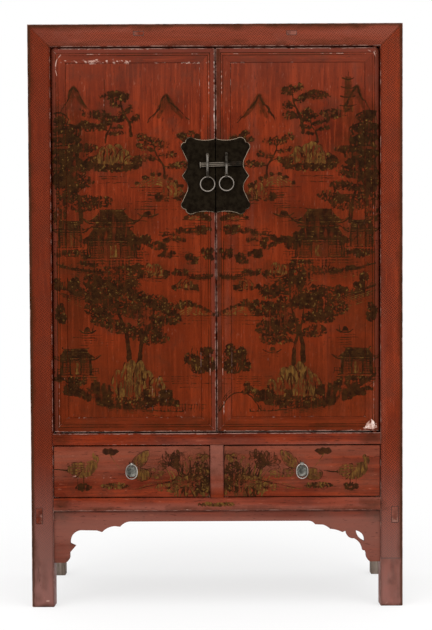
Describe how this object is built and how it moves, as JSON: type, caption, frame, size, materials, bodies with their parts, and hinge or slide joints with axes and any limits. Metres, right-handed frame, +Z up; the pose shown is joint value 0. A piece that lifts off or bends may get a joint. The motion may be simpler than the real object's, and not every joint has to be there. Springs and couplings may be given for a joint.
{
  "type": "wedding cabinet",
  "caption": "Tall red-lacquered cabinet on square legs, with painted doors, a lobed lock plate with a sliding pin, drawers with ring pulls and a cut apron.",
  "frame": {"origin": "middle of the footprint, on the floor", "axes": "+Z up, the front with its doors faces -Y, +X to the right as seen from the front"},
  "size_m": [1.128, 0.576, 1.76],
  "materials": {
    "frame_lacquer": "worn brownish red lacquer with faint fret painting",
    "door_lacquer": "orange red lacquer with gold and dark landscape painting",
    "drawer_lacquer": "faded pinkish red lacquer with bird and plant painting",
    "apron_lacquer": "greyed pinkish red lacquer",
    "side_lacquer": "plain worn dark red lacquer",
    "bare_wood": "bare aged grey brown wood",
    "lock_plate_metal": "nearly black patinated brass",
    "lock_metal": "dull yellowish grey metal",
    "ring_metal": "dull pale grey white brass",
    "pull_plate_metal": "grey patinated brass"
  },
  "bodies": {
    "case": {"back_panel": "bare_wood", "bottom_front_rail": "frame_lacquer", "bottom_rear_rail": "bare_wood", "cabinet_floor": "bare_wood", "door_sill_rail": "frame_lacquer", "drawer_divider": "frame_lacquer", "drawer_runners": "bare_wood", "dust_board": "bare_wood", "floor_bearers": "bare_wood", "left_apron": "apron_lacquer", "left_bottom_rail": "side_lacquer", "left_front_post": "frame_lacquer", "left_rear_post": "bare_wood", "left_side_panel": "side_lacquer", "left_top_rail": "side_lacquer", "right_apron": "apron_lacquer", "right_bottom_rail": "side_lacquer", "right_front_post": "frame_lacquer", "right_rear_post": "bare_wood", "right_side_panel": "side_lacquer", "right_top_rail": "side_lacquer", "shelf_bearers": "bare_wood", "shelf_board": "bare_wood", "top_battens": "bare_wood", "top_front_rail": "frame_lacquer", "top_panel": "bare_wood", "top_rear_rail": "bare_wood"},
    "left_door": {"left_door_battens": "bare_wood", "left_door_bottom_rail": "door_lacquer", "left_door_hinge_stile": "door_lacquer", "left_door_lock_stile": "door_lacquer", "left_door_panel": "door_lacquer", "left_door_top_rail": "door_lacquer", "left_lock_plate": "lock_plate_metal", "left_staple": "lock_metal"},
    "right_door": {"right_door_battens": "bare_wood", "right_door_bottom_rail": "door_lacquer", "right_door_hinge_stile": "door_lacquer", "right_door_lock_stile": "door_lacquer", "right_door_panel": "door_lacquer", "right_door_top_rail": "door_lacquer", "right_lock_plate": "lock_plate_metal", "right_staple": "lock_metal"},
    "lock_pin": {"lock_pin": "lock_metal"},
    "left_door_ring": {"left_ring": "ring_metal"},
    "right_door_ring": {"right_ring": "ring_metal"},
    "left_drawer": {"left_drawer_back": "bare_wood", "left_drawer_bottom": "bare_wood", "left_drawer_front": "drawer_lacquer", "left_drawer_sides": "bare_wood", "left_pull_plate": "pull_plate_metal"},
    "right_drawer": {"right_drawer_back": "bare_wood", "right_drawer_bottom": "bare_wood", "right_drawer_front": "drawer_lacquer", "right_drawer_sides": "bare_wood", "right_pull_plate": "pull_plate_metal"},
    "left_drawer_ring": {"left_pull_ring": "ring_metal"},
    "right_drawer_ring": {"right_pull_ring": "ring_metal"}
  },
  "joints": [
    {"name": "left_door_hinge", "type": "hinge", "parent": "case", "child": "left_door", "pos_m": [-0.48, -0.258, 1.1105], "axis": [0, 0, -1], "range_deg": [0, 95]},
    {"name": "right_door_hinge", "type": "hinge", "parent": "case", "child": "right_door", "pos_m": [0.48, -0.258, 1.1105], "axis": [0, 0, 1], "range_deg": [0, 95]},
    {"name": "lock_pin_slide", "type": "slide", "parent": "left_door", "child": "lock_pin", "axis": [-0.9996, 0, -0.0297], "range_m": [0, 0.085]},
    {"name": "left_door_ring_swing", "type": "hinge", "parent": "left_door", "child": "left_door_ring", "pos_m": [-0.024, -0.2825, 1.30031], "axis": [-1, 0, 0], "range_deg": [0, 100]},
    {"name": "right_door_ring_swing", "type": "hinge", "parent": "right_door", "child": "right_door_ring", "pos_m": [0.033, -0.2825, 1.30201], "axis": [-1, 0, 0], "range_deg": [0, 100]},
    {"name": "left_drawer_slide", "type": "slide", "parent": "case", "child": "left_drawer", "axis": [0, -1, 0], "range_m": [0, 0.33]},
    {"name": "right_drawer_slide", "type": "slide", "parent": "case", "child": "right_drawer", "axis": [0, -1, 0], "range_m": [0, 0.33]},
    {"name": "left_drawer_ring_swing", "type": "hinge", "parent": "left_drawer", "child": "left_drawer_ring", "pos_m": [-0.25825, -0.2795, 0.435], "axis": [-1, 0, 0], "range_deg": [0, 95]},
    {"name": "right_drawer_ring_swing", "type": "hinge", "parent": "right_drawer", "child": "right_drawer_ring", "pos_m": [0.25825, -0.2795, 0.435], "axis": [-1, 0, 0], "range_deg": [0, 95]}
  ]
}
